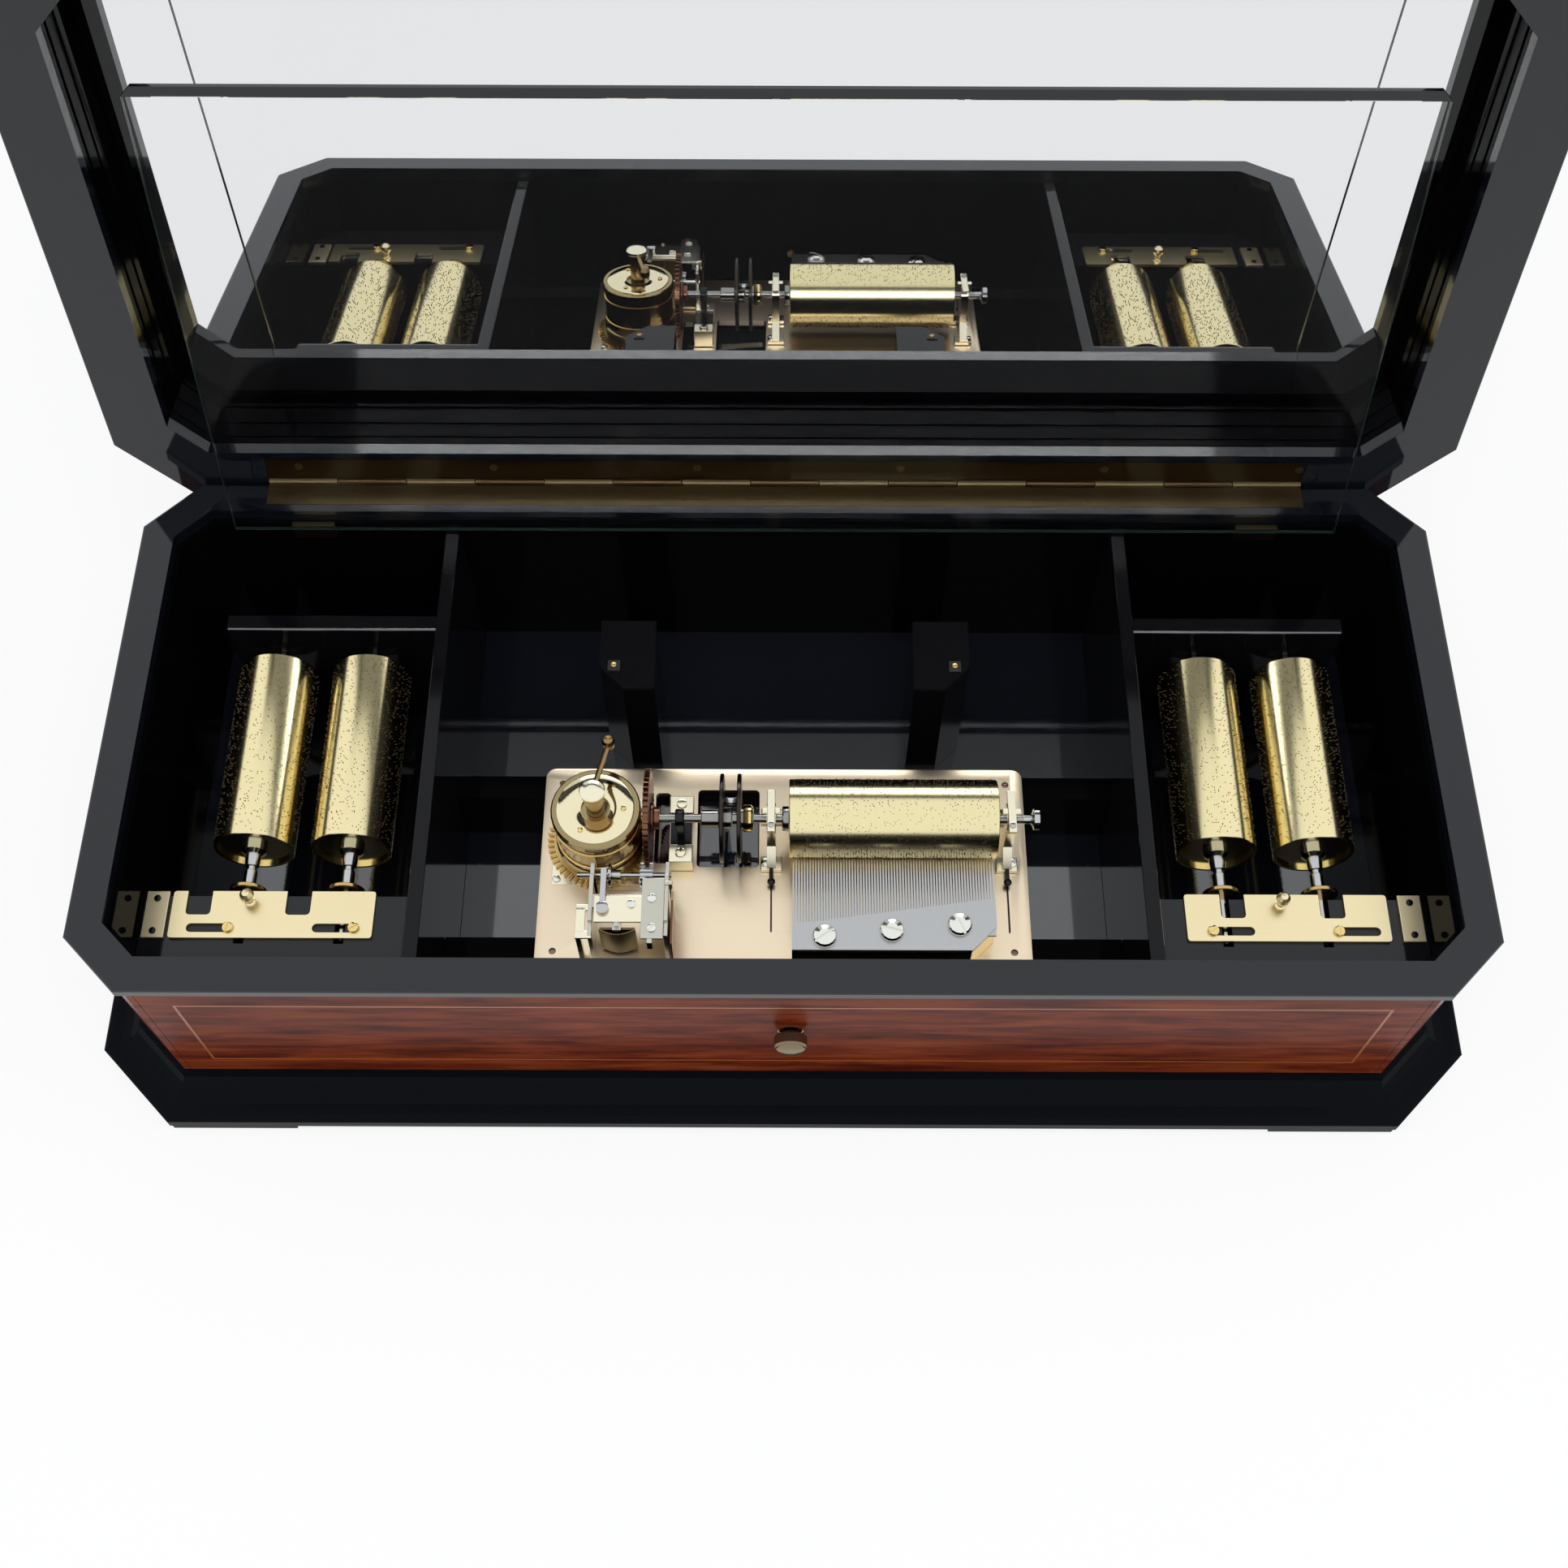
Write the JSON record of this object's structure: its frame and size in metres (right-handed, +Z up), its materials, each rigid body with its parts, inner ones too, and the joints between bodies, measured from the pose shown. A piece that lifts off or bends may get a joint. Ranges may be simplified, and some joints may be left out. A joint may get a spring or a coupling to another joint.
{
  "type": "cylinder music box",
  "caption": "Rosewood table music box with an open lid, a glass inner lid, a comb and cylinder movement and spare cylinders in racks.",
  "frame": {"origin": "under the middle of the whole box at rest, lid open, on the surface it stands on", "axes": "+X to the right along the front, +Y to the back, +Z up"},
  "size_m": [0.784, 0.4543, 0.4869],
  "materials": {
    "lacquer": "high gloss black lacquer",
    "rosewood": "polished red-brown rosewood veneer",
    "brass": "polished",
    "pale_brass": "pale brushed",
    "bronze": "dark bronze",
    "steel": "satin",
    "nickel": "bright nickel",
    "mirror": "silvered glass",
    "glass": "clear polished"
  },
  "bodies": {
    "case": {"bearing_left": "brass", "bearing_right": "brass", "bed_plate": "pale_brass", "bed_rail_front": "lacquer", "bed_rail_rear": "lacquer", "comb": "steel", "comb_base": "brass", "comb_screw_1": "nickel", "comb_screw_2": "nickel", "comb_screw_3": "nickel", "floor_panel": "lacquer", "glass_hinge_left": "brass", "glass_hinge_right": "brass", "governor_frame": "nickel", "hinge_leaf_case": "brass", "latch_rack_left": "lacquer", "latch_rack_right": "lacquer", "lining_back": "lacquer", "lining_front": "lacquer", "lining_left": "lacquer", "lining_right": "lacquer", "partition_left": "lacquer", "partition_right": "lacquer", "plinth": "lacquer", "rear_rack_left": "lacquer", "rear_rack_right": "lacquer", "rim": "lacquer", "shaft_bearing": "brass", "upright_left": "lacquer", "upright_right": "lacquer", "wall_back": "rosewood", "wall_front": "rosewood", "wall_left": "rosewood", "wall_right": "rosewood"},
    "lid": {"lid_rim": "lacquer", "lid_band": "rosewood", "lid_lining": "lacquer", "lid_crown": "lacquer", "lid_panel": "lacquer", "lid_mirror": "mirror", "hinge_leaf_lid": "brass"},
    "glass_lid": {"glass_pane": "glass", "glass_rail": "lacquer"},
    "left_latch": {"latch_plate_left": "brass"},
    "right_latch": {"latch_plate_right": "brass"},
    "barrel": {"spring_barrel": "brass", "barrel_wheel": "brass"},
    "crank": {"winding_crank": "brass"},
    "cylinder_line": {"drive_wheel": "bronze", "drive_shaft": "steel", "cylinder_arbor": "steel", "music_cylinder": "brass"},
    "governor_arbor": {"governor_arbor": "steel"},
    "fly": {"governor_fly": "brass"},
    "release": {"release_knob": "steel"},
    "start": {"start_knob": "brass"},
    "spare_left_1": {"spare_cylinder_left_1": "brass"},
    "spare_left_2": {"spare_cylinder_left_2": "brass"},
    "spare_right_1": {"spare_cylinder_right_1": "brass"},
    "spare_right_2": {"spare_cylinder_right_2": "brass"}
  },
  "joints": [
    {"name": "lid_hinge", "type": "hinge", "parent": "case", "child": "lid", "pos_m": [0, 0.11403, 0.15765], "axis": [1, 0, 0], "range_deg": [0, 100]},
    {"name": "glass_lid_hinge", "type": "hinge", "parent": "case", "child": "glass_lid", "pos_m": [0, 0.08483, 0.1513], "axis": [1, 0, 0], "range_deg": [0, 105]},
    {"name": "left_latch_slide", "type": "slide", "parent": "case", "child": "left_latch", "axis": [1, 0, 0], "range_m": [0, 0.02]},
    {"name": "right_latch_slide", "type": "slide", "parent": "case", "child": "right_latch", "axis": [-1, 0, 0], "range_m": [0, 0.02]},
    {"name": "barrel_spin", "type": "hinge", "parent": "case", "child": "barrel", "pos_m": [-0.104, -0.08297, 0.0825], "axis": [0, 0, 1], "continuous": true},
    {"name": "crank_turn", "type": "hinge", "parent": "case", "child": "crank", "pos_m": [-0.104, -0.08297, 0.0825], "axis": [0, 0, 1], "continuous": true},
    {"name": "cylinder_spin", "type": "hinge", "parent": "case", "child": "cylinder_line", "pos_m": [0, -0.08297, 0.1115], "axis": [1, 0, 0], "continuous": true},
    {"name": "governor_arbor_spin", "type": "hinge", "parent": "case", "child": "governor_arbor", "pos_m": [0, -0.11483, 0.10473], "axis": [1, 0, 0], "continuous": true},
    {"name": "fly_spin", "type": "hinge", "parent": "case", "child": "fly", "pos_m": [-0.09, -0.14997, 0.0935], "axis": [0, 0, 1], "continuous": true},
    {"name": "release_slide", "type": "slide", "parent": "case", "child": "release", "axis": [1, 0, 0], "range_m": [0, 0.006]},
    {"name": "start_knob_slide", "type": "slide", "parent": "case", "child": "start", "axis": [0, -1, 0], "range_m": [0, 0.008]},
    {"name": "spare_left_1_spin", "type": "hinge", "parent": "case", "child": "spare_left_1", "pos_m": [-0.24, -0.04697, 0.1055], "axis": [0, 1, 0], "continuous": true},
    {"name": "spare_left_2_spin", "type": "hinge", "parent": "case", "child": "spare_left_2", "pos_m": [-0.294, -0.04697, 0.1055], "axis": [0, 1, 0], "continuous": true},
    {"name": "spare_right_1_spin", "type": "hinge", "parent": "case", "child": "spare_right_1", "pos_m": [0.24, -0.04697, 0.1055], "axis": [0, 1, 0], "continuous": true},
    {"name": "spare_right_2_spin", "type": "hinge", "parent": "case", "child": "spare_right_2", "pos_m": [0.294, -0.04697, 0.1055], "axis": [0, 1, 0], "continuous": true}
  ],
  "couplings": [
    {"joint": "glass_lid_hinge", "follows": "lid_hinge", "ratio": 1.05},
    {"joint": "cylinder_spin", "follows": "barrel_spin", "ratio": 1.0833},
    {"joint": "governor_arbor_spin", "follows": "barrel_spin", "ratio": -4.7273},
    {"joint": "fly_spin", "follows": "barrel_spin", "ratio": 18.909}
  ]
}
